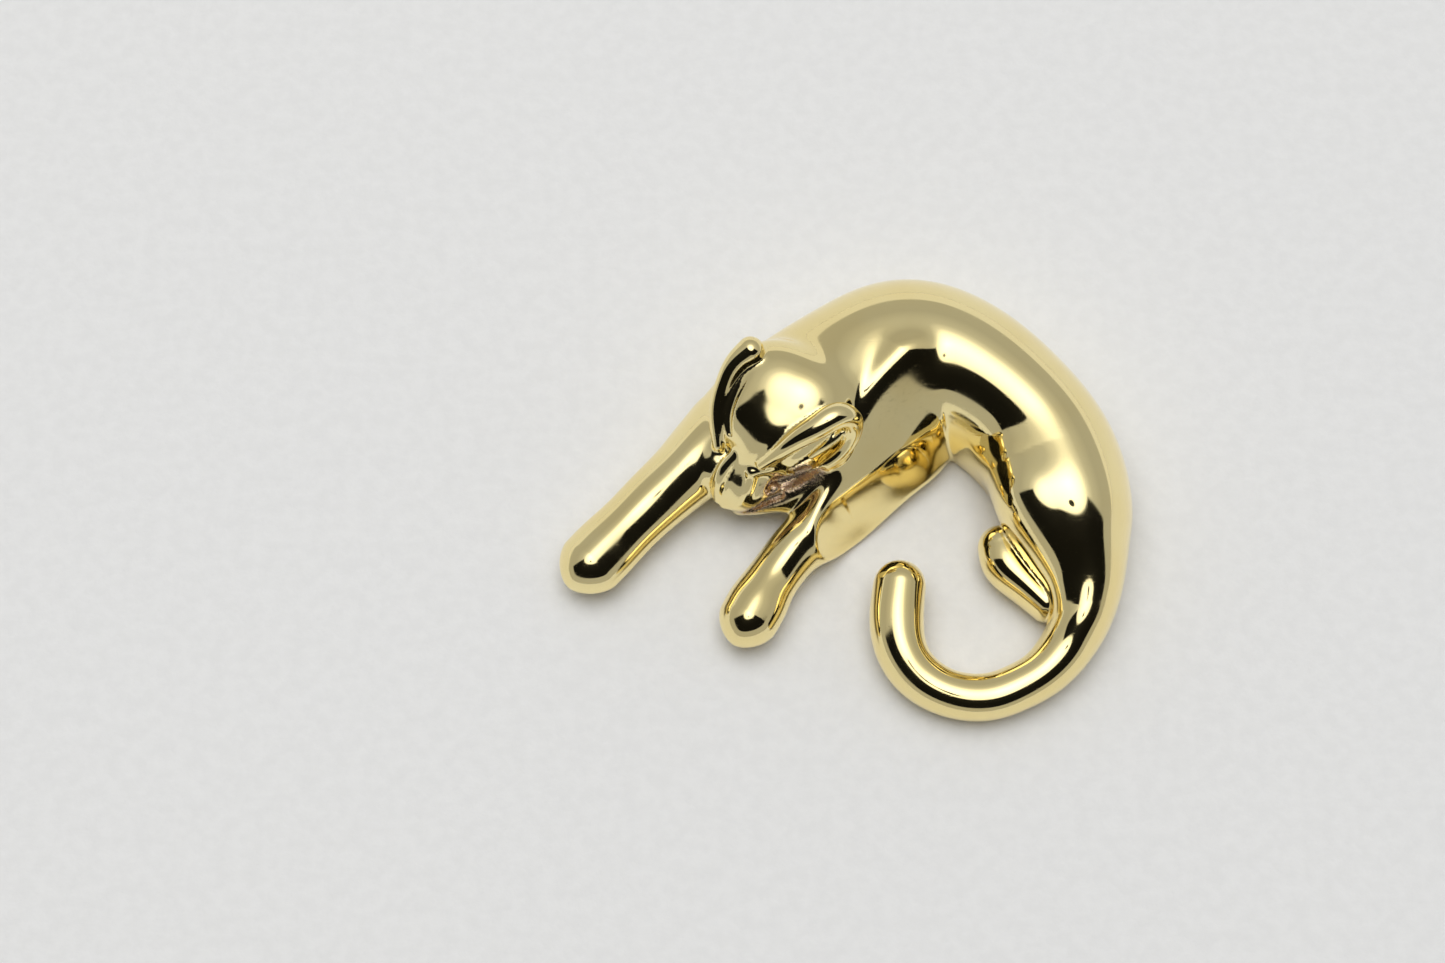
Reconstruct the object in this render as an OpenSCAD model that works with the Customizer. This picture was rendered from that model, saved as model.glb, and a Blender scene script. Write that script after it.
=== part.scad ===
// Big-cat brooch: hollow cast animal with soldered limbs, a recessed back plate,
// a riveted pin stem and a rolling safety catch.
// The origin is under the middle of the piece on the plane of its rim, +Z faces the viewer.

/* [Castings] */
// Height of the arched back above the rim
back_h = 9.2; // [8.6:0.2:9.8]
// Wall of the hollow body castings
shell_wall = 0.9; // [0.7:0.1:1.1]
// Height of the top of the skull above the rim
head_top = 11.6; // [11:0.2:12.2]
// Width of the head from ear to ear
head_w = 9.6; // [9:0.2:10.2]
// Height of the paws and of the tail's middle line above the rim
paw_z = 2.1; // [2.1:0.05:2.3]

/* [Back plate] */
// Depth of the back plate inside the rim
plate_z = 3; // [2.9:0.05:3.2]
// Thickness of the back plate
plate_t = 0.6; // [0.4:0.1:0.9]
// Diameter of the two casting vents
vent_d = 1.2; // [0.8:0.1:1.6]

/* [Pin stem] */
// Diameter of the pin's wire
pin_d = 0.8; // [0.7:0.05:0.85]
// Length of the pin from its pivot to its tip
pin_len = 18.6; // [18.4:0.1:19]
// Length of the ground point
point_len = 3; // [2:0.25:4]
// Diameter of the eye around the rivet
eye_d = 1.8; // [1.7:0.05:1.85]
// Width of the eye between the ears
eye_w = 0.9; // [0.8:0.05:0.9]

/* [Hinge] */
// Diameter of the rivet
rivet_d = 0.8; // [0.7:0.05:0.9]
// Diameter of the rivet's two heads
rivet_head_d = 1.3; // [1.1:0.05:1.5]
// Thickness of one ear
ear_t = 0.6; // [0.5:0.05:0.7]
// Gap between the two ears
ear_gap = 1; // [1:0.05:1.1]

/* [Safety catch] */
// Length of the catch housing along the pin
housing_len = 1.5; // [1.3:0.1:1.7]
// Outer diameter of the housing
housing_d = 2.9; // [2.8:0.05:2.95]
// Inner diameter of the housing
housing_bore = 2; // [1.95:0.05:2.1]
// Width of the slots that the pin drops through
slot_w = 1; // [0.95:0.05:1.1]
// Length of the thumb tab measured from the pin's axis
tab_r = 2.3; // [2:0.1:2.4]

/* [Hidden] */

gold = [0.84, 0.72, 0.36];
pale_gold = [0.80, 0.74, 0.50];
steel = [0.74, 0.73, 0.70];

sides = 24;             // points around one cross-section
steps = 3;              // sections between two stations
dome_angles = [30, 60, 85];
dome_steps = len(dome_angles);
below = 20;             // depth of the block that trims everything under the rim
run_gap = 0.05;         // radial running clearance of the moving fits

// Places of the findings
pin_y = 8.8;
pivot_x = -5;
pin_z = plate_z / 2;
catch_x = 12;
hinge_base_t = plate_z - pin_z - eye_d / 2 - 2 * run_gap;

// A station is [x, y, z of the middle line, half width, rise above it, drop below it].
// The body runs from the chest under the head over the back to the root of the tail.
body_z = 2.2;
deep = 7;               // a drop that makes the wall nearly upright where it meets the rim
shoulder_rise = back_h - body_z;
spine_stations = [
    // Chest and back
    [-8.6, 5.6, body_z, 2.2, 2.6, deep],
    [-7.1, 6.6, body_z, 2.9, 4.2, deep],
    [-4.1, 8.1, body_z, 3.9, 5.6, deep],
    [-0.2, 9.7, body_z, 4.7, shoulder_rise - 0.4, deep],
    [4.2, 10.7, body_z, 5.6, shoulder_rise, deep],
    [8.3, 9.5, body_z, 5.4, shoulder_rise, deep],
    [11.8, 6.7, body_z, 5.0, shoulder_rise, deep],
    // Waist, haunch and root of the tail
    [14.4, 3.3, body_z, 4.8, shoulder_rise - 0.1, deep],
    [15.5, 0.2, body_z, 4.6, shoulder_rise - 0.1, deep],
    [16.2, -3.4, body_z, 3.9, shoulder_rise - 1, deep],
    [16.7, -6.8, paw_z, 2.6, 4.0, 6],
    [16.0, -9.8, paw_z, 1.95, 2.8, 3],
    // Tail
    [14.8, -11.4, 2.0, 1.85, 2.2, 2.0],
    [13.4, -12.6, 1.9, 1.7, 2.0, 1.9],
    [11.8, -13.5, 1.8, 1.65, 1.8, 1.8],
    [10.1, -14.1, 1.7, 1.65, 1.7, 1.7],
    [8.4, -14.2, 1.7, 1.65, 1.7, 1.7],
    [6.7, -13.8, 1.7, 1.65, 1.8, 1.7],
    [5.3, -13.0, 1.8, 1.7, 1.9, 1.8],
    [4.2, -11.8, 1.9, 1.75, 2.0, 1.9],
    [3.6, -10.2, 2.0, 1.85, 2.1, 2.0],
    [3.5, -8.3, 2.1, 1.9, 2.2, 2.1],
    [3.7, -6.5, 2.2, 1.85, 2.1, 2.2]
];
waist_at = [13.9, 4.3];
waist_heading = -64;    // heading of the spine where the two body castings meet
tail_root = 12;         // station where the tail is soldered on
hollow_to = 10;         // station where the hollow of the haunch ends
far_leg_stations = [
    [-17.8, -4.6, paw_z, 2.4, 2.1, 2.1],
    [-16.8, -3.5, paw_z, 2.4, 2.1, 2.1],
    [-15.2, -1.8, paw_z, 2.3, 2.1, 2.1],
    [-13.3, 0.1, 2.3, 2.4, 2.3, 2.3],
    [-11.3, 1.9, 2.6, 2.6, 2.8, 3.2],
    [-9.4, 3.7, 2.8, 3.0, 3.2, 5],
    [-6.6, 5.8, 3.0, 3.6, 3.6, deep]
];
near_leg_stations = [
    [-6.8, -8.7, paw_z, 2.15, 2.1, 2.1],
    [-6.1, -7.4, paw_z, 2.15, 2.1, 2.1],
    [-5.3, -6.0, 2.0, 1.95, 2.0, 2.0],
    [-4.4, -4.7, 2.0, 1.9, 2.1, 2.0],
    [-3.3, -3.4, 2.1, 2.0, 2.4, 2.4],
    [-1.8, -2.2, 2.4, 2.3, 2.8, 4],
    [-0.3, -0.4, 2.6, 2.9, 3.4, 6],
    [1.6, 2.0, 2.8, 3.6, 4.7, deep],
    [3.6, 4.6, 2.9, 4.0, 5.6, deep]
];
thigh_stations = [
    [13.7, 1.2, 5.0, 2.6, 3.9, 3.0],
    [14.4, -1.2, 4.8, 2.4, 3.6, 2.8],
    [15.2, -3.8, 4.2, 1.9, 3.0, 2.4],
    [16.0, -6.4, 3.4, 1.3, 2.2, 2.0],
    [16.5, -8.6, 2.8, 0.8, 1.4, 1.5]
];
hind_paw_stations = [
    [11.0, -2.2, 1.9, 1.2, 1.7, 1.9],
    [11.3, -3.7, 1.9, 1.7, 2.0, 1.9],
    [12.2, -5.3, 1.8, 1.55, 1.9, 1.8],
    [13.7, -7.2, 1.6, 1.1, 1.6, 1.6]
];

// Frame of the head: middle of the ear line, and the heading of the nose about +Z
head_at = [-3.4, 5.6, head_top - 4];
head_heading = 150;
head_pitch = 24;

// Smooth curve through a list of stations, with the end stations repeated
function station(list, i) = list[max(0, min(len(list) - 1, i))];
function curve_point(a, b, c, d, t) =
    b + 0.5 * t * ((c - a) + t * ((2 * a - 5 * b + 4 * c - d) + t * (3 * (b - c) + d - a)));
function smooth(list) = [
    for (i = [0 : len(list) - 2], k = [0 : steps - 1])
        curve_point(station(list, i - 1), list[i], list[i + 1], station(list, i + 2), k / steps),
    list[len(list) - 1]
];

// Shrinking sections that close an end as a dome, from station a away from station b
function dome(a, b) =
    let (run = [a[0] - b[0], a[1] - b[1]], out = run / norm(run))
    [for (angle = dome_angles)
        [a[0] + out[0] * a[3] * sin(angle), a[1] + out[1] * a[3] * sin(angle), a[2],
         a[3] * cos(angle), a[4] * cos(angle), a[5] * cos(angle)]];
function reversed(list) = [for (i = [len(list) - 1 : -1 : 0]) list[i]];
function domed_start(list) = concat(reversed(dome(list[0], list[1])), list);
function domed_end(list) =
    concat(list, dome(list[len(list) - 1], list[len(list) - 2]));

// One upright cross-section, an oval with its own rise and drop, across heading dir
function section(s, dir) = [
    for (i = [0 : sides - 1])
        let (angle = 360 * i / sides)
        [s[0] + dir[1] * s[3] * cos(angle), s[1] - dir[0] * s[3] * cos(angle),
         s[2] + (sin(angle) > 0 ? s[4] : s[5]) * sin(angle)]
];

// Solid swept through the stations of a list, from one index to another
module sweep_between(list, first, last) {
    count = last - first + 1;
    points = [
        for (i = [first : last])
            let (run = station(list, i + 1) - station(list, i - 1),
                 dir = [run[0], run[1]] / norm([run[0], run[1]]))
            each section(list[i], dir)
    ];
    walls = [
        for (i = [0 : count - 2], k = [0 : sides - 1])
            let (a = i * sides + k, b = i * sides + (k + 1) % sides)
            each [[a, b, a + sides], [b, b + sides, a + sides]]
    ];
    start_cap = [for (k = [sides - 1 : -1 : 0]) k];
    end_cap = [for (k = [0 : sides - 1]) (count - 1) * sides + k];
    polyhedron(points, concat([start_cap], walls, [end_cap]), convexity = 8);
}

module sweep(list) {
    sweep_between(list, 0, len(list) - 1);
}

module under_rim() {
    translate([-30, -30, -below]) cube([60, 60, below]);
}

function thinner(list) = [
    for (s = list) [s[0], s[1], s[2], s[3] - shell_wall, s[4] - shell_wall, s[5]]
];

// Hollow of the body, from the chest to the haunch
module cavity() {
    sweep_between(smooth(thinner(spine_stations)), steps, steps * hollow_to);
}

// Filled body from the chest to the root of the tail
module body_form() {
    sweep_between(domed_start(smooth(spine_stations)), 0, dome_steps + steps * tail_root);
}

// Everything before (-1) or beyond (1) the plane where the two body castings meet
module past_waist(way) {
    reach = 60;
    translate([waist_at[0], waist_at[1], 0]) rotate([0, 0, waist_heading])
        translate([way > 0 ? 0 : -reach, -reach / 2, -reach / 2]) cube(reach);
}

// Thigh that stands proud of the body's inner side, over the hind paw
module thigh_form() {
    sweep(domed_end(domed_start(smooth(thigh_stations))));
}

module far_leg_form() {
    sweep(domed_start(smooth(far_leg_stations)));
}

module near_leg_form() {
    sweep(domed_start(smooth(near_leg_stations)));
}

module torso_shell() {
    color(gold) resize([0, 0, 0]) difference() {
        body_form();
        cavity();
        past_waist(1);
        under_rim();
    }
}

module haunch_shell() {
    color(gold) resize([0, 0, 0]) difference() {
        union() {
            body_form();
            thigh_form();
        }
        cavity();
        past_waist(-1);
        under_rim();
    }
}

module tail() {
    list = domed_end(smooth(spine_stations));
    color(gold) sweep_between(list, steps * tail_root, len(list) - 1);
}

module hind_paw() {
    color(gold) resize([0, 0, 0]) difference() {
        sweep(domed_end(domed_start(smooth(hind_paw_stations))));
        body_form();
        thigh_form();
    }
}

module far_foreleg() {
    color(gold) resize([0, 0, 0]) difference() {
        far_leg_form();
        body_form();
        under_rim();
    }
}

module near_foreleg() {
    color(gold) resize([0, 0, 0]) difference() {
        near_leg_form();
        body_form();
        far_leg_form();
        under_rim();
    }
}

// Skull, brow, muzzle, jaw and two cupped ears, modelled with the nose along +Y
module head_form() {
    ear_x = head_w / 2 - 0.9;
    hull() {
        translate([0, -1.4, 0]) scale([1.1, 1, 0.95]) sphere(d = 6.6, $fn = 32);
        translate([0, 2.6, 0.4]) scale([1.25, 1, 0.8]) sphere(d = 5.6, $fn = 32);
    }
    hull() {
        translate([0, 4.4, -0.4]) scale([1.2, 1, 0.9]) sphere(d = 4.6, $fn = 32);
        translate([0, 7.2, -0.9]) scale([1.3, 1, 1]) sphere(d = 3.4, $fn = 32);
    }
    translate([0, 6.4, -2.2]) scale([1.2, 1.3, 0.8]) sphere(d = 3.2, $fn = 32);
    for (side = [-1, 1]) {
        translate([side * 1.1, 7.8, -0.9]) sphere(d = 2.1, $fn = 24);
        hull() {
            translate([side * ear_x, 0, 1.2]) scale([1, 1.5, 0.8]) sphere(d = 2, $fn = 24);
            translate([side * (ear_x - 0.5), 2.8, 1.6]) sphere(d = 1.2, $fn = 24);
        }
    }
}

module head() {
    color(gold) resize([0, 0, 0]) difference() {
        translate(head_at) rotate([0, 0, head_heading]) rotate([-head_pitch, 0, 0]) head_form();
        body_form();
        far_leg_form();
        near_leg_form();
        under_rim();
    }
}

// Plate soldered inside the castings, with its two vents
module back_plate() {
    vents = [[1, 11.6], [15.4, 0]];
    color(pale_gold) resize([0, 0, 0]) difference() {
        intersection() {
            cavity();
            translate([-30, -30, plate_z]) cube([60, 60, plate_t]);
        }
        for (vent = vents)
            translate([vent[0], vent[1], plate_z - 1]) cylinder(d = vent_d, h = plate_t + 2, $fn = 32);
    }
}

// Cylinder along +Y, centred on the rivet's axis
module across(d, length) {
    translate([pivot_x, pin_y - length / 2, pin_z]) rotate([-90, 0, 0]) cylinder(d = d, h = length, $fn = 48);
}

module hinge_block() {
    outer = ear_gap + 2 * ear_t;
    pad = 2.6;
    color(pale_gold) difference() {
        union() {
            translate([pivot_x - pad / 2, pin_y - outer / 2, plate_z - hinge_base_t])
                cube([pad, outer, hinge_base_t]);
            across(eye_d, outer);
            translate([pivot_x - eye_d / 2, pin_y - outer / 2, pin_z])
                cube([eye_d, outer, plate_z - pin_z]);
        }
        translate([pivot_x - pad, pin_y - ear_gap / 2, -1])
            cube([2 * pad, ear_gap, 1 + plate_z - hinge_base_t]);
        across(rivet_d, outer + 1);
    }
}

module hinge_rivet() {
    head_t = 0.25;
    grip = ear_gap + 2 * ear_t;
    color(pale_gold) {
        across(rivet_d, grip + head_t);
        for (side = [-1, 1])
            translate([0, side * (grip + head_t) / 2, 0]) across(rivet_head_d, head_t);
    }
}

// Round eye, drawn wire and ground point in one piece
module pin_stem() {
    shaft_from = pivot_x + rivet_d / 2 + run_gap + 0.2;
    point_from = pivot_x + pin_len - point_len;
    color(steel) difference() {
        union() {
            across(eye_d, eye_w);
            translate([shaft_from, pin_y, pin_z]) rotate([0, 90, 0])
                cylinder(d = pin_d, h = point_from - shaft_from, $fn = 48);
            translate([point_from, pin_y, pin_z]) rotate([0, 90, 0])
                cylinder(d1 = pin_d, d2 = pin_d / 5, h = point_len, $fn = 48);
        }
        across(rivet_d + 2 * run_gap, eye_w + 1);
    }
}

// Tube around the pin's axis at the catch, from one distance along the pin to another
module catch_tube(d, from, to) {
    translate([catch_x + from, pin_y, pin_z]) rotate([0, 90, 0]) cylinder(d = d, h = to - from, $fn = 48);
}

// Straight way in for the pin, from the axis down through one wall of a catch piece
module pin_slot(width) {
    translate([catch_x - 2, pin_y - width / 2, pin_z - 3]) cube([4, width, 3]);
}

module catch_housing() {
    half = housing_len / 2;
    pad_w = 3.4;
    color(pale_gold) difference() {
        union() {
            catch_tube(housing_d, -half, half);
            translate([catch_x - half, pin_y - pad_w / 2, plate_z - 0.4]) cube([housing_len, pad_w, 0.4]);
            translate([catch_x - half, pin_y - 0.6, pin_z + 1]) cube([housing_len, 1.2, plate_z - pin_z - 1]);
        }
        catch_tube(housing_bore, -half - 1, half + 1);
        pin_slot(slot_w + 2 * run_gap);
    }
}

// Rolling sleeve with a collar at each end and a thumb tab on the one by the tip
module catch_rotor() {
    half = housing_len / 2 + run_gap;
    collar_t = 0.35;
    collar_d = 2.5;
    bore_d = 1.16;
    tab_w = 0.8;
    tab_angle = 20;
    color(pale_gold) difference() {
        union() {
            catch_tube(housing_bore - 2 * run_gap, -half, half);
            catch_tube(collar_d, -half - collar_t, -half);
            catch_tube(collar_d, half, half + collar_t);
            translate([catch_x + half, pin_y, pin_z]) rotate([tab_angle, 0, 0])
                translate([0, 0.9, -tab_w / 2]) cube([collar_t, tab_r - 0.9, tab_w]);
        }
        catch_tube(bore_d, -2, 2);
        pin_slot(slot_w);
    }
}

torso_shell();
haunch_shell();
tail();
head();
far_foreleg();
near_foreleg();
hind_paw();
back_plate();
hinge_block();
hinge_rivet();
pin_stem();
catch_housing();
catch_rotor();
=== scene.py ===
"""Gold big-cat brooch: a smooth cast sculpture with its pin and catch, on a pale table.

The sculpture is one distance field in millimetres. It is meshed once, then cut into its castings.
"""

import math

import bpy
import numpy as np
import openvdb
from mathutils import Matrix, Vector


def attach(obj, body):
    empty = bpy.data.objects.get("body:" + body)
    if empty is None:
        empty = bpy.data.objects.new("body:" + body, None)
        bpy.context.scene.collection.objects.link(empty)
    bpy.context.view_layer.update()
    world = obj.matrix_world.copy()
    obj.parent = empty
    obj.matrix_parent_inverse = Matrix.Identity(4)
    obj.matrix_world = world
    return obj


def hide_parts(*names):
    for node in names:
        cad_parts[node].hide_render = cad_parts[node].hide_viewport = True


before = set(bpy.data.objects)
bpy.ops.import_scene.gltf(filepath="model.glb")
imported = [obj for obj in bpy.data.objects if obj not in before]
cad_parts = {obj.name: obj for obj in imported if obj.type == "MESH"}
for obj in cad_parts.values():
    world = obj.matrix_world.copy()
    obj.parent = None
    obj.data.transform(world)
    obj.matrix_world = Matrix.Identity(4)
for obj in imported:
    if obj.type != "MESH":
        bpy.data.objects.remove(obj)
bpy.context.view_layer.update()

MM = 0.001
FAR = 4.0            # value given to points well outside a shape
SAMPLE_STEP = 0.25   # spacing of the first guesses along a curve
CHUNK = 20000        # points compared with the guesses at a time
SLOPE_REACH = 0.03   # step of the gradient that pulls points onto the surface
NORMAL_REACH = 0.1   # step of the gradient that gives the normals
RECESS_FADE = 0.5    # width of the edge between casting skin and polish
INNER_WALL = 0.15    # points this near the hollow's own surface are its wall
TUBE_REACH = 2.5     # how far outside its box a tube is worked out
HEAD_REACH = 2.0     # how far outside its box the head is worked out
KEPT_CELLS = 2.2     # grid cells to either side of the surface that the finer grid works out again
LONGEST_PULL = 0.1   # most that a point is pulled onto the surface at a time
PITCH = 0.17

# Plan curves of the body and limbs: x, y, centre height, half width, rise, drop
SPINE = [
    [-8.6, 5.6, 2.2, 2.2, 2.6, 7], [-7.1, 6.6, 2.2, 2.9, 4.2, 7], [-4.1, 8.1, 2.2, 3.9, 5.6, 7],
    [-0.2, 9.7, 2.2, 4.7, 6.6, 7], [4.2, 10.7, 2.2, 5.6, 7, 7], [8.3, 9.5, 2.2, 5.4, 7, 7],
    [11.8, 6.7, 2.2, 5.0, 7, 7], [14.4, 3.3, 2.2, 4.8, 6.9, 7], [15.5, 0.2, 2.2, 4.6, 6.9, 7],
    [16.2, -3.4, 2.2, 3.9, 6, 7], [16.7, -6.8, 2.1, 2.5, 4, 6], [15.9, -9.5, 2.1, 2.0, 3.0, 3],
    [14.8, -11.2, 2.0, 1.85, 2.3, 2.0], [13.4, -12.6, 1.9, 1.7, 2.0, 1.9],
    [11.8, -13.5, 1.8, 1.65, 1.8, 1.8], [10.1, -14.1, 1.7, 1.65, 1.7, 1.7],
    [8.4, -14.2, 1.7, 1.65, 1.7, 1.7], [6.7, -13.8, 1.7, 1.65, 1.8, 1.7],
    [5.3, -13.0, 1.8, 1.7, 1.9, 1.8], [4.2, -11.8, 2.0, 1.75, 2.1, 2.0],
    [3.6, -10.2, 2.2, 1.85, 2.2, 2.2], [3.5, -8.3, 2.4, 1.9, 2.3, 2.4], [3.7, -6.5, 2.6, 1.85, 2.3, 2.6],
]
HOLLOW_ROWS = slice(1, 10)
WALL = 0.9
FAR_LEG = [
    [-17.8, -4.6, 2.1, 2.4, 2.1, 2.1], [-16.8, -3.5, 2.1, 2.4, 2.1, 2.1],
    [-15.2, -1.8, 2.1, 2.3, 2.1, 2.1], [-13.3, 0.1, 2.3, 2.4, 2.3, 2.3],
    [-11.3, 1.9, 2.6, 2.6, 2.8, 3.2], [-9.4, 3.7, 2.8, 3.0, 3.2, 5], [-6.6, 5.8, 3.0, 3.6, 3.6, 7],
]
NEAR_LEG = [
    [-6.8, -8.7, 2.1, 2.15, 2.1, 2.1], [-6.1, -7.4, 2.1, 2.15, 2.1, 2.1],
    [-5.3, -6.0, 2.0, 1.95, 2.0, 2.0], [-4.4, -4.7, 2.0, 1.9, 2.1, 2.0],
    [-3.3, -3.4, 2.1, 2.0, 2.4, 2.4], [-1.8, -2.2, 2.4, 2.3, 2.8, 4],
    [-0.3, -0.4, 2.6, 2.9, 3.4, 6], [1.1, 2.7, 2.8, 4.6, 5.2, 7], [2.6, 5.7, 2.9, 5.8, 6.5, 7],
    [4.3, 8.2, 2.9, 6.2, 7.0, 7],
]
THIGH = [
    [12.6, 1.6, 4.4, 2.6, 3.6, 3.0], [13.3, -0.7, 4.7, 2.9, 3.9, 2.8], [14.4, -3.4, 4.3, 2.5, 3.4, 2.4],
    [15.4, -6.2, 3.4, 1.7, 2.5, 2.0], [16.0, -8.6, 2.8, 1.1, 1.6, 1.5],
]
HIND_PAW = [
    [10.9, -3.4, 1.9, 1.6, 1.9, 1.9], [11.2, -4.4, 1.9, 1.7, 2.0, 1.9],
    [12.3, -5.9, 1.8, 1.4, 1.9, 1.8], [13.9, -7.6, 1.7, 1.1, 1.7, 1.7],
]


class Curve:
    """Natural cubic through the rows of a table, run by chord length over the first few columns."""

    def __init__(self, rows, axes):
        self.rows = np.array(rows, float)
        self.axes = axes
        chords = np.linalg.norm(np.diff(self.rows[:, :axes], axis=0), axis=1)
        self.knots = np.concatenate([[0], np.cumsum(chords)])
        n = len(rows)
        system, right = np.eye(n), np.zeros((n, self.rows.shape[1]))
        for i in range(1, n - 1):
            a, b = chords[i - 1], chords[i]
            system[i, i - 1:i + 2] = a, 2 * (a + b), b
            right[i] = 6 * ((self.rows[i + 1] - self.rows[i]) / b - (self.rows[i] - self.rows[i - 1]) / a)
        self.bend = np.linalg.solve(system, right)
        self.samples = np.linspace(0, self.knots[-1], int(self.knots[-1] / SAMPLE_STEP) + 2)
        self.sample_points = self.at(self.samples)[0][:, :axes]

    def at(self, t):
        """Rows at t, with their first and second derivatives."""
        i = np.clip(np.searchsorted(self.knots, t) - 1, 0, len(self.knots) - 2)
        step = (self.knots[i + 1] - self.knots[i])[:, None]
        b = (t - self.knots[i])[:, None] / step
        a = 1 - b
        y0, y1, m0, m1 = self.rows[i], self.rows[i + 1], self.bend[i], self.bend[i + 1]
        value = a * y0 + b * y1 + ((a**3 - a) * m0 + (b**3 - b) * m1) * step**2 / 6
        slope = (y1 - y0) / step + ((1 - 3 * a**2) * m0 + (3 * b**2 - 1) * m1) * step / 6
        return value, slope, a * m0 + b * m1

    def nearest(self, p):
        """Parameter of the nearest point of the curve to each point."""
        t = np.empty(len(p))
        squares = (self.sample_points**2).sum(1)
        for start in range(0, len(p), CHUNK):
            part = p[start:start + CHUNK]
            t[start:start + CHUNK] = self.samples[(squares - 2 * part @ self.sample_points.T).argmin(1)]
        for _ in range(3):
            value, slope, bend = (x[:, :self.axes] for x in self.at(t))
            gap = value - p
            speed = (slope**2).sum(1)
            push = speed + (gap * bend).sum(1)
            t = np.clip(t - (gap * slope).sum(1) / np.maximum(push, 0.3 * speed), 0, self.knots[-1])
        return t


def near_box(p, low, high, reach=FAR):
    return ((p > low - reach) & (p < high + reach)).all(1)


def oval_distance(parts, radii, power=2.0):
    """Distance to an oval from a point's coordinates in its axes, to first order.

    Powers above 2 square it off and powers below 2 sharpen its crest.
    """
    shares = [np.abs(a / r) for a, r in zip(parts, radii)]
    size = np.maximum(sum(share**power for share in shares) ** (1 / power), 1e-6)
    steep = np.sqrt(sum(((share / size) ** (power - 1) / r) ** 2 for share, r in zip(shares, radii)))
    return (size - 1) / np.maximum(steep, 1e-6)


class Sweep:
    """Upright oval sections along a plan curve, closed by domes."""

    def __init__(self, rows, thinner=0.0, power=2.0, ridge=0.0):
        rows = np.array(rows, float)
        rows[:, 3:5] -= thinner
        self.power, self.ridge = power, ridge
        self.curve = Curve(rows, 2)
        wide = rows[:, 3].max()
        self.low = np.append(self.curve.sample_points.min(0) - wide, -2)
        self.high = np.append(self.curve.sample_points.max(0) + wide, (rows[:, 2] + rows[:, 4]).max())

    def __call__(self, p):
        out = np.full(len(p), FAR)
        close = near_box(p, self.low, self.high)
        q = p[close]
        t = self.curve.nearest(q[:, :2])
        row, slope, _ = self.curve.at(t)
        run = slope[:, :2] / np.linalg.norm(slope[:, :2], axis=1)[:, None]
        gap = q[:, :2] - row[:, :2]
        up = q[:, 2] - row[:, 2]
        along = (gap * run).sum(1)
        side = gap[:, 0] * run[:, 1] - gap[:, 1] * run[:, 0]
        height = np.where(up > 0, row[:, 4], row[:, 5])
        side = np.sign(side) * np.sqrt(side**2 + self.ridge**2)
        oval = oval_distance((side, up, along), (row[:, 3], height, row[:, 3]), self.power)
        out[close] = np.minimum(oval, FAR)
        return out


class Tube:
    """Round rod along a curve in space: rows of x, y, z, radius."""

    def __init__(self, rows):
        self.curve = Curve(rows, 3)
        wide = max(row[3] for row in rows)
        self.low = self.curve.sample_points.min(0) - wide
        self.high = self.curve.sample_points.max(0) + wide

    def __call__(self, p):
        out = np.full(len(p), FAR)
        close = near_box(p, self.low, self.high, TUBE_REACH)
        q = p[close]
        row = self.curve.at(self.curve.nearest(q))[0]
        out[close] = np.minimum(np.linalg.norm(q - row[:, :3], axis=1) - row[:, 3], FAR)
        return out


def ellipsoid(p, centre, radii, turn=0.0, power=2.0):
    """Ellipsoid turned by an angle in degrees about the third axis."""
    c, s = math.cos(math.radians(turn)), math.sin(math.radians(turn))
    x, y, z = (p - np.array(centre)).T
    return oval_distance((c * x + s * y, c * y - s * x, z), radii, power)


def blend(a, b, k):
    """Smooth union of two fields, over k millimetres."""
    h = np.clip(1 - np.abs(a - b) / k, 0, 1)
    return np.minimum(a, b) - h**3 * k / 6


def cut(a, b, k):
    """Field a with field b taken away, with an edge rounded over k millimetres."""
    return -blend(-a, b, k)


# ---------------------------------------------------------------- head

# The head's own axes: the tables of tubes below give forward, aside, crown and radius
HEAD_AT = np.array([-3.4, 5.6, 7.6])
PITCH_DOWN = math.radians(24)
NOSE_WAY = (-0.5, -0.866)
FORWARD = np.array([*(math.cos(PITCH_DOWN) * c for c in NOSE_WAY), -math.sin(PITCH_DOWN)])
ASIDE = np.array([0.866, -0.5, 0.0])
CROWN = np.cross(FORWARD, ASIDE)

EAR_NEAR = Tube([
    [5.1, 0.2, 1.9, 0.35], [3.5, 1.1, 2.6, 0.55], [2.0, 1.9, 2.95, 0.75], [0.7, 2.7, 2.95, 0.88],
    [-0.5, 3.5, 2.5, 0.92], [-0.6, 4.3, 1.6, 0.75], [0.4, 4.7, 0.8, 0.58], [1.8, 4.5, 0.2, 0.5],
    [3.0, 3.9, -0.1, 0.42],
])
EAR_NEAR_FOLD = Tube([
    [3.0, 2.8, 0.6, 0.25], [2.0, 3.3, 0.95, 0.35], [1.0, 3.8, 1.1, 0.38], [0.5, 4.0, 1.2, 0.3],
])
EAR_FAR = Tube([
    [5.4, -3.3, 1.0, 0.35], [3.4, -4.3, 1.7, 0.52], [1.2, -4.7, 2.15, 0.62], [-0.4, -4.6, 2.35, 0.75],
    [-1.6, -4.1, 2.3, 0.95],
])
EAR_FAR_SLIT = Tube([
    [-0.4, -3.5, 2.85, 0.3], [1.0, -3.6, 2.7, 0.3], [3.0, -3.4, 2.35, 0.28], [4.2, -2.8, 1.9, 0.2],
])
BRIDGE = Tube([[2.5, -0.4, 1.3, 1.3], [4.5, -0.8, 0.8, 1.1], [6.6, -1.05, -0.1, 1.0]])
CHEEK = Tube([[5.9, -0.3, 1.2, 0.35], [4.9, 0.9, 1.1, 0.36], [3.9, 2.0, 0.9, 0.36], [2.9, 3.1, 0.5, 0.36]])
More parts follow.
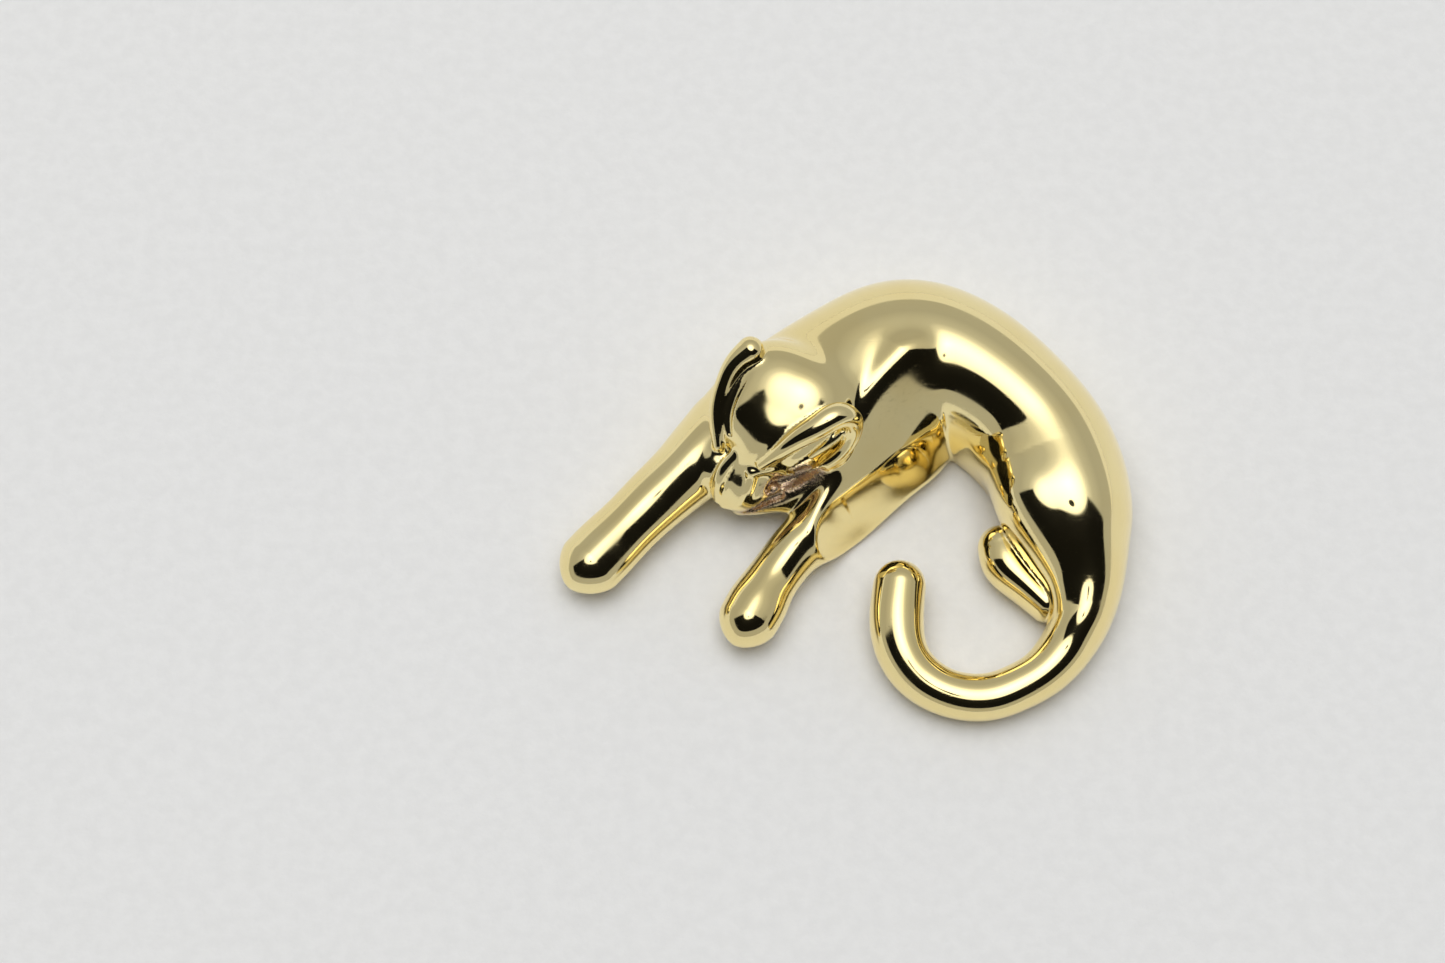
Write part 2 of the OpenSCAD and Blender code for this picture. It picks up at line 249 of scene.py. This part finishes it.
JAW_LINE = Tube([
    [8.7, -0.4, -1.8, 0.65], [7.6, 1.3, -1.8, 0.65], [5.8, 2.7, -1.6, 0.62], [4.0, 3.7, -1.3, 0.6],
    [2.4, 4.3, -0.9, 0.55],
])
LIP = Tube([[5.8, -0.3, 1.15, 0.35], [7.1, -0.1, 0.5, 0.4], [8.4, -0.5, -0.5, 0.45], [8.9, -1.3, -0.8, 0.4]])
NOSE_SIDE = Tube([
    [4.8, -1.7, 1.2, 0.4], [6.4, -2.1, 1.0, 0.5], [7.8, -2.1, 0.3, 0.55], [8.7, -1.8, -0.5, 0.45],
])
MOUTH = Tube([[8.9, 0.3, -1.0, 0.25], [7.6, 1.1, -0.8, 0.4], [6.6, 1.9, -0.8, 0.35]])


def head_axes(world):
    """Points in the head's own axes: towards the nose, towards the near ear, towards the crown."""
    off = world - HEAD_AT
    return np.stack([off @ FORWARD, off @ ASIDE, off @ CROWN], 1)


def socket(p):
    return ellipsoid(p, (5.2, 2.3, -0.3), (2.2, 0.8, 0.8), -42)


def ear_cavity(p):
    return ellipsoid(p, (2.6, 3.3, 0.9), (2.6, 0.85, 0.95), -35)


def recess(world):
    """1 on the unpolished skin of the eye socket and mouth, 0 on polished metal."""
    p = head_axes(world)
    return np.clip(1 - np.minimum(socket(p), MOUTH(p)) / RECESS_FADE, 0, 1)


def head(world):
    out = np.full(len(world), FAR)
    close = near_box(world, np.array([-10.5, -2.5, 0]), np.array([2.5, 9.5, 12]), HEAD_REACH)
    p = head_axes(world[close])
    skull = ellipsoid(p, (1.1, -0.6, -0.8), (4.6, 4.8, 3.8), 0, 2.4)
    muzzle = ellipsoid(p, (6.2, -0.95, -1.2), (3.0, 2.6, 2.1))
    jaw = ellipsoid(p, (3.8, 0.9, -2.0), (4.2, 3.0, 1.5), 15)
    shape = blend(skull, BRIDGE(p), 1.5)
    shape = blend(shape, muzzle, 1.0)
    shape = blend(shape, jaw, 0.8)
    shape = blend(shape, ellipsoid(p, (6.4, -3.1, -0.4), (1.9, 1.2, 1.3)), 0.4)
    shape = blend(shape, NOSE_SIDE(p), 0.4)
    shape = blend(shape, LIP(p), 0.35)
    shape = blend(shape, CHEEK(p), 0.35)
    shape = cut(shape, socket(p), 0.35)
    shape = blend(shape, ellipsoid(p, (6.4, 1.3, -0.7), (0.5, 0.5, 0.45)), 0.2)
    shape = blend(shape, JAW_LINE(p), 0.5)
    shape = cut(shape, MOUTH(p), 0.2)
    shape = blend(shape, EAR_FAR(p), 0.7)
    shape = cut(shape, EAR_FAR_SLIT(p), 0.3)
    shape = cut(shape, ear_cavity(p), 0.3)
    shape = blend(shape, EAR_NEAR(p), 0.4)
    shape = blend(shape, EAR_NEAR_FOLD(p), 0.25)
    out[close] = np.minimum(shape, FAR)
    return out


# ---------------------------------------------------------------- whole sculpture

spine = Sweep(SPINE)
hollow = Sweep(SPINE[HOLLOW_ROWS], WALL)
far_leg = Sweep(FAR_LEG, power=1.65, ridge=0.3)
near_leg = Sweep(NEAR_LEG, power=1.7, ridge=0.3)
thigh = Sweep(THIGH, power=2.3)
hind_paw = Sweep(HIND_PAW)
NECK = Tube([[-2.6, 6.0, 6.6, 3.4], [0.5, 7.8, 5.8, 3.4], [3.5, 9.2, 5.2, 3.4]])


def parts(p):
    return {
        "body": spine(p), "neck": NECK(p), "far": far_leg(p), "near": near_leg(p),
        "thigh": thigh(p), "paw": hind_paw(p), "head": head(p),
    }


# Facets of the upper arm, each a point and an outward normal: broad face, wall under it, end at the belly
ARM_FACE = ((3.7, 1.0, 3.8), (0.38, -0.607, 0.698))
ARM_SIDE = ((3.1, -1.45, 0.0), (0.485, -0.713, 0.506))
ARM_END = ((6.3, 3.0, 5.0), (0.88, -0.4, 0.25))


def above(p, plane):
    return (p - np.array(plane[0])) @ np.array(plane[1])


def arm(p, whole):
    """Near foreleg with the two facets of its upper half."""
    down_leg = np.clip(-(p[:, 0] + p[:, 1]) * 0.7 - 0.6, 0, 12)
    fade = 0.10 * down_leg**2
    for plane, edge in ((ARM_FACE, 1.2), (ARM_SIDE, 0.25), (ARM_END, 0.8)):
        whole = cut(whole, fade - above(p, plane), edge)
    return whole


def field(p):
    f = parts(p)
    shape = blend(f["body"], f["neck"], 2.5)
    shape = blend(shape, f["far"], 1.2)
    shape = blend(shape, arm(p, f["near"]), 0.6)
    shape = blend(shape, f["thigh"], 2.2)
    shape = blend(shape, f["paw"], 0.3)
    shape = blend(shape, f["head"], 1.0)
    shape = cut(shape, hollow(p), 0.2)
    return cut(shape, p[:, 2], 0.25)


def slope_of(p, reach):
    """Gradient of the field by central differences."""
    out = np.empty_like(p)
    for axis in range(3):
        step = np.zeros(3)
        step[axis] = reach
        out[:, axis] = (field(p + step) - field(p - step)) / (2 * reach)
    return out


def surface():
    """Vertices and triangles of the whole sculpture, meshed from coarse to fine."""
    low = np.array([-21.5, -17.5, -1.5])
    size = np.array([43, 35, 14.5])
    pitch, values = PITCH * 4, None
    while pitch > PITCH * 0.9:
        counts = np.ceil(size / (PITCH * 4)).astype(int) * round(PITCH * 4 / pitch) + 1
        grid = np.stack(np.meshgrid(*(np.arange(n) for n in counts), indexing="ij"), -1)
        if values is None:
            wanted = np.ones(counts, bool)
            new = np.empty(counts)
        else:
            new = values
            for axis in range(3):
                last_row = new.shape[axis] - 1
                before = np.take(new, range(last_row), axis)
                after = np.take(new, range(1, last_row + 1), axis)
                middle = (before + after) / 2
                shape = list(new.shape)
                shape[axis] = 2 * shape[axis] - 1
                wide = np.empty(shape)
                odd, even = [slice(None)] * 3, [slice(None)] * 3
                odd[axis], even[axis] = slice(1, None, 2), slice(0, None, 2)
                wide[tuple(odd)], wide[tuple(even)] = middle, new
                new = wide
            wanted = np.abs(new) < pitch * KEPT_CELLS
        new[wanted] = field(low + grid[wanted] * pitch)
        values, last = new, pitch
        pitch /= 2
    volume = openvdb.FloatGrid(background=FAR)
    volume.copyFromArray(values.astype(np.float32))
    points, triangles, quads = volume.convertToPolygons(isovalue=0.0, adaptivity=0.0)
    points = low + points.astype(float) * last
    faces = [triangles] if len(triangles) else []
    faces += [quads[:, [0, 1, 2]], quads[:, [0, 2, 3]]]
    triangles = np.concatenate(faces).astype(int)
    for _ in range(2):
        gradient = slope_of(points, SLOPE_REACH)
        square = np.maximum((gradient**2).sum(1), 0.2)
        points -= np.clip(field(points) / square, -LONGEST_PULL, LONGEST_PULL)[:, None] * gradient
    return points, triangles


points, triangles = surface()
corner = points[triangles]
normal = np.cross(corner[:, 1] - corner[:, 0], corner[:, 2] - corner[:, 0])
if (corner[:, 0] * normal).sum() < 0:
    triangles = triangles[:, ::-1]
gradient = slope_of(points, NORMAL_REACH)
normals = gradient / np.linalg.norm(gradient, axis=1)[:, None]

CASTINGS = (
    ("cat_torso", "torso_shell"), ("cat_haunch", "haunch_shell"), ("cat_tail", "tail"), ("cat_head", "head"),
    ("cat_far_foreleg", "far_foreleg"), ("cat_near_foreleg", "near_foreleg"), ("cat_hind_paw", "hind_paw"),
)
TORSO, HAUNCH, TAIL, HEAD, FAR_FORELEG, NEAR_FORELEG, PAW = range(7)
WAIST_AT, WAIST_WAY = np.array([13.9, 4.3]), np.array([0.438, -0.899])
HAUNCH_FROM = 3.0        # x that the haunch and tail start from
TAIL_ROOT = -9.8         # y below which the haunch becomes the tail
TAIL_TIP = (8.0, -4.0)   # the tail's tip is left of this x and below this y


def casting_of(p):
    """Which casting each point of the surface goes to.

    Body points left of HAUNCH_FROM go to the torso, which takes in a strip on the left side of the tail.
    """
    f = parts(p)
    shapes = [np.minimum(f["body"], f["neck"]), f["thigh"], f["head"], f["far"], arm(p, f["near"]), f["paw"]]
    owner = np.array([TORSO, HAUNCH, HEAD, FAR_FORELEG, NEAR_FORELEG, PAW])[np.argmin(shapes, axis=0)]
    owner[np.abs(hollow(p)) < INNER_WALL] = TORSO
    past_waist = ((p[:, :2] - WAIST_AT) @ WAIST_WAY > 0) & (p[:, 0] > HAUNCH_FROM)
    owner[(owner == TORSO) & past_waist] = HAUNCH
    tip = (p[:, 0] < TAIL_TIP[0]) & (p[:, 1] < TAIL_TIP[1])
    owner[(owner == HAUNCH) & ((p[:, 1] < TAIL_ROOT) | tip)] = TAIL
    return owner


owner = casting_of(points[triangles].mean(1))
rough_skin = recess(points)

# ---------------------------------------------------------------- materials


SKIN_BROWN = (0.66, 0.47, 0.34, 1)


class Tree:
    """Short calls for building a node tree."""

    def __init__(self, tree):
        self.tree = tree

    def put(self, kind, sockets=(), **settings):
        node = self.tree.nodes.new(kind)
        for key, value in settings.items():
            setattr(node, key, value)
        for key, value in dict(sockets).items():
            self.set(node.inputs[key], value)
        return node

    def set(self, socket, value):
        if isinstance(value, bpy.types.NodeSocket):
            self.tree.links.new(value, socket)
        else:
            socket.default_value = value

    def math(self, operation, *values):
        return self.put("ShaderNodeMath", dict(enumerate(values)), operation=operation).outputs[0]

    def step(self, value, start, end, low=0.0, high=1.0):
        """low below start, high above end, smooth between."""
        sockets = {"Value": value, "From Min": start, "From Max": end, "To Min": low, "To Max": high}
        return self.put("ShaderNodeMapRange", sockets, interpolation_type="SMOOTHSTEP").outputs["Result"]

    def mix(self, factor, a, b):
        node = self.put("ShaderNodeMix", data_type="RGBA")
        self.set(node.inputs["Factor"], factor)
        self.set(node.inputs["A"], a)
        self.set(node.inputs["B"], b)
        return node.outputs["Result"]

    def noise(self, scale, detail=2.0, stretch=(1, 1, 1), turn=0.0):
        """Noise over the object, scale in features a metre."""
        place = self.put("ShaderNodeTexCoord").outputs["Object"]
        spin = (0, 0, math.radians(turn))
        mapping = self.put("ShaderNodeMapping", {"Vector": place, "Scale": stretch, "Rotation": spin})
        sockets = {"Vector": mapping.outputs[0], "Scale": scale, "Detail": detail}
        return self.put("ShaderNodeTexNoise", sockets).outputs["Fac"]

    def bump(self, height, distance, under=None, strength=1.0):
        sockets = {"Height": height, "Distance": distance, "Strength": strength}
        if under is not None:
            sockets["Normal"] = under
        return self.put("ShaderNodeBump", sockets).outputs["Normal"]


def new_material(name, metallic):
    material = bpy.data.materials.new(name)
    material.use_nodes = True
    bsdf = material.node_tree.nodes["Principled BSDF"]
    bsdf.inputs["Metallic"].default_value = metallic
    return material, Tree(material.node_tree), bsdf


def gold_alloy(name, colour, deep, polish, hairline, wave, skin=False):
    """Gold with slow drifts of colour and polish, crossed hairline scratches and faint waves under them.

    polish is the lowest and highest roughness. hairline and wave are depths in metres. skin adds the brown
    unpolished casting skin where the attribute "recess" is set.
    """
    material, tree, bsdf = new_material(name, 1.0)
    drift = tree.step(tree.noise(160, 3), 0.35, 0.65)
    tone = tree.mix(drift, (*colour, 1), (*deep, 1))
    along = tree.step(tree.noise(300, 3, (1, 22, 22), 35), 0.60, 0.72)
    across = tree.step(tree.noise(260, 3, (26, 1, 26), -20), 0.62, 0.74)
    lines = tree.math("MAXIMUM", along, across)
    patches = tree.step(tree.noise(420, 4), 0.35, 0.7, polish[0], polish[1])
    rough = tree.math("ADD", patches, tree.math("MULTIPLY", lines, polish[1] * 0.5))
    under = tree.bump(tree.noise(330, 1), wave)
    under = tree.bump(lines, -hairline, under)
    if skin:
        recess_here = tree.put("ShaderNodeAttribute", attribute_name="recess").outputs["Fac"]
        grain = tree.noise(5200, 4)
        amount = tree.math("MULTIPLY", recess_here, tree.step(grain, 0.3, 0.6, 0.45, 1.0))
        tone = tree.mix(amount, tone, SKIN_BROWN)
        rough = tree.math("ADD", rough, tree.math("MULTIPLY", amount, 0.22))
        under = tree.bump(grain, 0.00005, under, recess_here)
    tree.set(bsdf.inputs["Base Color"], tone)
    tree.set(bsdf.inputs["Roughness"], rough)
    tree.set(bsdf.inputs["Normal"], under)
    return material


polished = gold_alloy(
    "polished_gold", (0.98, 0.84, 0.44), (0.96, 0.80, 0.39), (0.045, 0.11), 6e-7, 5e-6, skin=True
)
satin = gold_alloy("satin_gold", (0.82, 0.70, 0.40), (0.72, 0.58, 0.30), (0.22, 0.38), 4e-6, 3e-6)
wire = gold_alloy("pin_wire", (0.80, 0.72, 0.48), (0.70, 0.62, 0.40), (0.14, 0.26), 2e-6, 1e-6)

for i, (name, node) in enumerate(CASTINGS):
    used, index = np.unique(triangles[owner == i], return_inverse=True)
    mesh = bpy.data.meshes.new(name)
    mesh.from_pydata((points[used] * MM).tolist(), [], index.reshape(-1, 3).tolist())
    mesh.shade_smooth()
    mesh.normals_split_custom_set_from_vertices(normals[used].tolist())
    skin_here = mesh.attributes.new("recess", "FLOAT", "POINT")
    skin_here.data.foreach_set("value", rough_skin[used].astype(np.float32))
    mesh.materials.append(polished)
    casting = bpy.data.objects.new(name, mesh)
    bpy.context.scene.collection.objects.link(casting)
    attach(casting, "brooch")
    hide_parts(node)

FINISHES = {
    "back_plate": satin, "hinge_block": satin, "hinge_rivet": wire, "pin_stem": wire, "catch_housing": satin,
    "catch_rotor": satin,
}
for name, material in FINISHES.items():
    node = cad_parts[name]
    if not node.material_slots:
        node.data.materials.append(material)
    for place in node.material_slots:
        place.material = material

# ---------------------------------------------------------------- table, light and camera

TILT = math.radians(20.4)
LOOK_AT = Vector((-8.6, 2.3, 0)) * MM
REACH = 209.7 * MM
camera_data = bpy.data.cameras.new("camera")
camera_data.lens, camera_data.sensor_width = 73.13, 36
camera = bpy.data.objects.new("camera", camera_data)
camera.location = LOOK_AT + REACH * Vector((0, -math.sin(TILT), math.cos(TILT)))
camera.rotation_euler = (TILT, 0, 0)
camera_data.clip_start = 0.01
bpy.context.scene.collection.objects.link(camera)
bpy.context.scene.camera = camera

floor_mesh = bpy.data.meshes.new("floor")
FLOOR_HALF = 0.6
CORNERS = [(FLOOR_HALF * i, FLOOR_HALF * j, 0) for i, j in ((-1, -1), (1, -1), (1, 1), (-1, 1))]
floor_mesh.from_pydata(CORNERS, [], [(0, 1, 2, 3)])
floor = bpy.data.objects.new("floor", floor_mesh)
bpy.context.scene.collection.objects.link(floor)
floor.location.z = -0.0001
# Soft white sheet with faint fibres. Seen from below it is clear, so that the back of the brooch shows.
paper, tree, paper_bsdf = new_material("paper", 0.0)
fibre = tree.noise(900, 5)
white = tree.mix(tree.step(fibre, 0.3, 0.7), (0.83, 0.83, 0.82, 1), (0.80, 0.80, 0.79, 1))
tree.set(paper_bsdf.inputs["Base Color"], white)
tree.set(paper_bsdf.inputs["Roughness"], tree.step(tree.noise(2500, 3), 0.3, 0.7, 0.75, 0.9))
tree.set(paper_bsdf.inputs["Normal"], tree.bump(fibre, 0.00006))
below = tree.put("ShaderNodeNewGeometry").outputs["Backfacing"]
clear = tree.put("ShaderNodeBsdfTransparent").outputs[0]
floor_shader = tree.put("ShaderNodeMixShader", {0: below, 1: paper_bsdf.outputs[0], 2: clear}).outputs[0]
tree.set(paper.node_tree.nodes["Material Output"].inputs["Surface"], floor_shader)
floor_mesh.materials.append(paper)

bpy.context.scene.view_settings.view_transform = "Standard"
world = bpy.data.worlds.new("tent")
bpy.context.scene.world = world
world.use_nodes = True
world.node_tree.nodes.clear()
tree = Tree(world.node_tree)

way = tree.put("ShaderNodeTexCoord").outputs["Generated"]
x, y, z = tree.put("ShaderNodeSeparateXYZ", {0: way}).outputs
DEGREES = 180 / math.pi
elevation = tree.math("MULTIPLY", tree.math("ARCSINE", z), DEGREES)
# Bearing of a direction in degrees: 0 is -X, 90 is the near side, 180 is +X, -90 is the far side
round_way = tree.math("ARCTAN2", tree.math("MULTIPLY", y, -1), tree.math("MULTIPLY", x, -1))
bearing = tree.math("MULTIPLY", round_way, DEGREES)

# Brightness of the light tent from the table up to a little past the zenith on the far side
TENT = ((0.0, 0.6), (0.02, 0.34), (0.3, 0.33), (0.55, 0.42), (0.66, 0.62), (0.8, 1.3), (1.0, 1.9))
BRIGHTEST = 2
TENT_STRENGTH = 1.25
walls = tree.put("ShaderNodeValToRGB")
stops = walls.color_ramp.elements
for i, (place, level) in enumerate(TENT):
    stop = stops[0] if i == 0 else stops[-1] if i == len(TENT) - 1 else stops.new(place)
    stop.position = place
    stop.color = (*[level / BRIGHTEST] * 3, 1)
toward_top = tree.math("ADD", elevation, tree.math("MULTIPLY", y, -15))
tree.set(walls.inputs[0], tree.math("DIVIDE", toward_top, 90))
tent = tree.math("MULTIPLY", walls.outputs[0], BRIGHTEST)

# The tent's open front is a dark room, from a little above the table up to the edge of the top sheet
ROOM_LEFT, ROOM_RIGHT = (4, 8), (162, 166)
ROOM_FOOT, ROOM_TOP = (17, 18.5), (58, 61)
front = tree.math("MULTIPLY", tree.step(bearing, *ROOM_LEFT), tree.step(bearing, *ROOM_RIGHT, 1, 0))
between = tree.math("MULTIPLY", tree.step(elevation, *ROOM_TOP, 1, 0), tree.step(elevation, *ROOM_FOOT))
room = tree.math("MULTIPLY", front, between)
# The hole in the top sheet that the lens looks through
ROOM_DEPTH = 0.985
LENS_WAY = (0, -math.sin(TILT), math.cos(TILT))
toward_lens = tree.put("ShaderNodeVectorMath", {0: way, 1: LENS_WAY}, operation="DOT_PRODUCT")
facing_lens = toward_lens.outputs["Value"]
LENS_OUTSIDE, LENS_INSIDE = math.radians(3.6), math.radians(2.8)
lens = tree.step(facing_lens, math.cos(LENS_OUTSIDE), math.cos(LENS_INSIDE))
shade = tree.math("SUBTRACT", 1, tree.math("MULTIPLY", tree.math("MAXIMUM", room, lens), ROOM_DEPTH))
light = tree.math("MULTIPLY", tent, shade)
grey = tree.put("ShaderNodeCombineXYZ", {0: light, 1: light, 2: light}).outputs[0]
lit = tree.put("ShaderNodeBackground", {"Color": grey, "Strength": TENT_STRENGTH}).outputs[0]
plain = tree.put("ShaderNodeBackground", {"Color": (0.86, 0.86, 0.85, 1)}).outputs[0]
seen = tree.put("ShaderNodeLightPath").outputs["Is Camera Ray"]
mixed = tree.put("ShaderNodeMixShader", {0: seen, 1: lit, 2: plain}).outputs[0]
tree.put("ShaderNodeOutputWorld", {"Surface": mixed})

lamp_data = bpy.data.lights.new("lamp", "AREA")
lamp_data.size, lamp_data.energy = 0.5, 1.5
lamp = bpy.data.objects.new("lamp", lamp_data)
lamp.location = (-0.05, 0.1, 0.6)
lamp.rotation_euler = (-math.atan2(0.1, 0.6), math.atan2(-0.05, 0.6), 0)
lamp.visible_glossy = False
bpy.context.scene.collection.objects.link(lamp)
